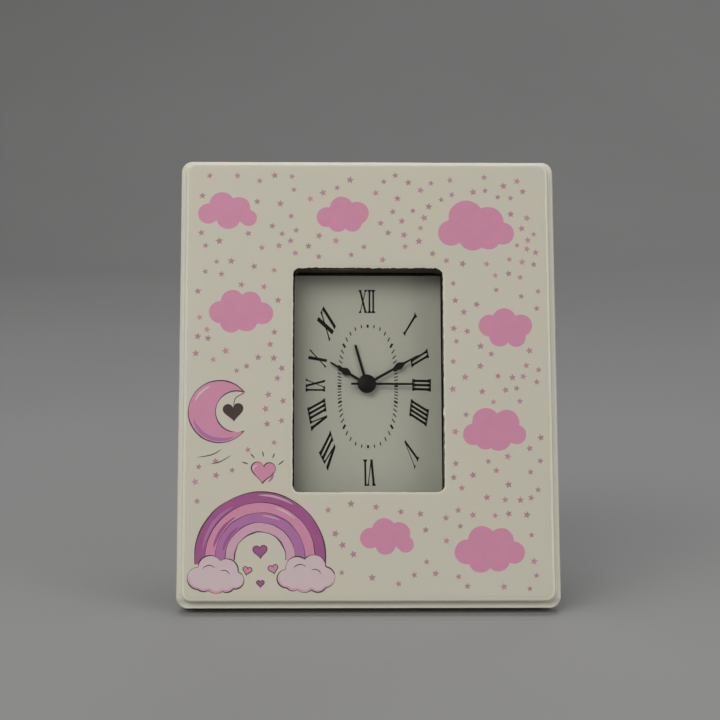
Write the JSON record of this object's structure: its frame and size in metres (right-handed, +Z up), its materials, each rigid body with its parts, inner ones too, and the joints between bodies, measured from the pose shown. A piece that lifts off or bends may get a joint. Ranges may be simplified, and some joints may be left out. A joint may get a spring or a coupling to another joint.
{
  "type": "photo frame clock",
  "caption": "Leaning rectangular wooden table frame with a small analogue quartz alarm clock set into its opening and a folding wire stand behind.",
  "frame": {"origin": "centre of the bounding box at floor level, object standing on its lower rear edge and its wire stand", "axes": "+Z up, the front faces -Y and leans back 17.45 degrees, +X to the right of someone looking at the dial"},
  "size_m": [0.15, 0.08, 0.174],
  "materials": {
    "painted_wood": "cream paint, satin, on fibreboard",
    "printed_film": "printed cream with pink and lilac, satin varnish",
    "black_plastic": "fine moulded texture",
    "light_plastic": "moulded",
    "gear_plastic": "moulded acetal",
    "lens": "clear",
    "dial_card": "matt off-white print",
    "hand_black": "satin black",
    "magnet": "sintered",
    "steel": "plated",
    "stand_steel": "zinc plated wire",
    "copper": "enamelled copper wire",
    "brass": "sheet",
    "board": "phenolic board",
    "battery_sleeve": "plain shrink sleeve",
    "rubber": "matt"
  },
  "bodies": {
    "root": {"front_panel": "painted_wood", "back_frame": "painted_wood", "printed_film": "printed_film", "clock_case": "black_plastic", "clock_lens": "lens", "dial_spacer": "black_plastic", "dial_plate": "dial_card", "dial_backplate": "black_plastic", "movement_base": "black_plastic", "middle_plate": "light_plastic", "train_bridge": "light_plastic", "rear_case": "black_plastic", "stator_plate": "steel", "coil_core": "steel", "coil_bobbin": "light_plastic", "coil_winding": "copper", "circuit_board": "board", "chip_blob": "black_plastic", "quartz_crystal": "steel", "buzzer_disc": "brass", "alarm_contact": "brass", "battery": "battery_sleeve", "battery_contact_positive": "steel", "battery_contact_negative": "steel", "stand_brackets": "black_plastic", "case_screws": "steel", "bracket_screws": "steel", "movement_screws": "steel", "rear_case_screws": "steel", "bridge_screws": "steel"},
    "seconds": {"seconds_wheel": "gear_plastic", "second_hand": "hand_black", "hand_cap": "hand_black"},
    "third": {"third_wheel": "gear_plastic"},
    "centre": {"centre_wheel": "gear_plastic"},
    "intermediate": {"intermediate_wheel": "gear_plastic"},
    "rotor": {"rotor_pinion": "gear_plastic", "rotor_magnet": "magnet"},
    "minutes": {"cannon_pinion": "gear_plastic", "minute_hand": "hand_black"},
    "minute_gear": {"minute_wheel": "gear_plastic"},
    "hours": {"hour_wheel": "gear_plastic", "hour_hand": "hand_black"},
    "time_knob": {"time_set_knob": "black_plastic"},
    "alarm": {"alarm_wheel": "gear_plastic", "alarm_hand": "hand_black"},
    "alarm_knob": {"alarm_set_knob": "black_plastic"},
    "switch": {"alarm_switch": "light_plastic"},
    "door": {"battery_door": "black_plastic"},
    "stand": {"stand_wire": "stand_steel", "stand_sleeve": "rubber"}
  },
  "joints": [
    {"name": "second_turn", "type": "hinge", "parent": "root", "child": "seconds", "pos_m": [0, 0.01004, 0.08179], "axis": [0, 0.954, -0.2999], "continuous": true},
    {"name": "third_turn", "type": "hinge", "parent": "root", "child": "third", "pos_m": [0.00205, 0.01233, 0.08909], "axis": [0, 0.954, -0.2999], "continuous": true},
    {"name": "centre_turn", "type": "hinge", "parent": "root", "child": "centre", "pos_m": [0, 0.01004, 0.08179], "axis": [0, 0.954, -0.2999], "continuous": true},
    {"name": "intermediate_turn", "type": "hinge", "parent": "root", "child": "intermediate", "pos_m": [-0.00789, 0.00918, 0.07905], "axis": [0, 0.954, -0.2999], "continuous": true},
    {"name": "rotor_turn", "type": "hinge", "parent": "root", "child": "rotor", "pos_m": [-0.01479, 0.00881, 0.07789], "axis": [0, 0.954, -0.2999], "continuous": true},
    {"name": "minute_turn", "type": "hinge", "parent": "root", "child": "minutes", "pos_m": [0, 0.01004, 0.08179], "axis": [0, 0.954, -0.2999], "continuous": true},
    {"name": "minute_gear_turn", "type": "hinge", "parent": "root", "child": "minute_gear", "pos_m": [-0.00831, 0.01148, 0.08637], "axis": [0, 0.954, -0.2999], "continuous": true},
    {"name": "hour_turn", "type": "hinge", "parent": "root", "child": "hours", "pos_m": [0, 0.01004, 0.08179], "axis": [0, 0.954, -0.2999], "continuous": true},
    {"name": "time_knob_turn", "type": "hinge", "parent": "root", "child": "time_knob", "pos_m": [-0.00831, 0.01424, 0.09514], "axis": [0, 0.954, -0.2999], "continuous": true},
    {"name": "alarm_turn", "type": "hinge", "parent": "root", "child": "alarm", "pos_m": [0, 0.01004, 0.08179], "axis": [0, 0.954, -0.2999], "continuous": true},
    {"name": "alarm_knob_turn", "type": "hinge", "parent": "root", "child": "alarm_knob", "pos_m": [0.01128, 0.00881, 0.07787], "axis": [0, 0.954, -0.2999], "continuous": true},
    {"name": "alarm_switch_slide", "type": "slide", "parent": "root", "child": "switch", "axis": [0, 0.2999, 0.954], "range_m": [0, 0.004]},
    {"name": "battery_door_slide", "type": "slide", "parent": "root", "child": "door", "axis": [0, -0.2999, -0.954], "range_m": [0, 0.017]},
    {"name": "stand_fold", "type": "hinge", "parent": "root", "child": "stand", "pos_m": [0, 0.01063, 0.11934], "axis": [-1, 0, 0], "range_deg": [0, 30.3]}
  ],
  "couplings": [
    {"joint": "third_turn", "follows": "second_turn", "ratio": -0.125},
    {"joint": "centre_turn", "follows": "second_turn", "ratio": 0.016667},
    {"joint": "intermediate_turn", "follows": "second_turn", "ratio": -5},
    {"joint": "rotor_turn", "follows": "second_turn", "ratio": 30},
    {"joint": "minute_gear_turn", "follows": "minute_turn", "ratio": -0.33333},
    {"joint": "hour_turn", "follows": "minute_turn", "ratio": 0.083333},
    {"joint": "time_knob_turn", "follows": "minute_turn", "ratio": 1.2},
    {"joint": "alarm_knob_turn", "follows": "alarm_turn", "ratio": -4}
  ]
}
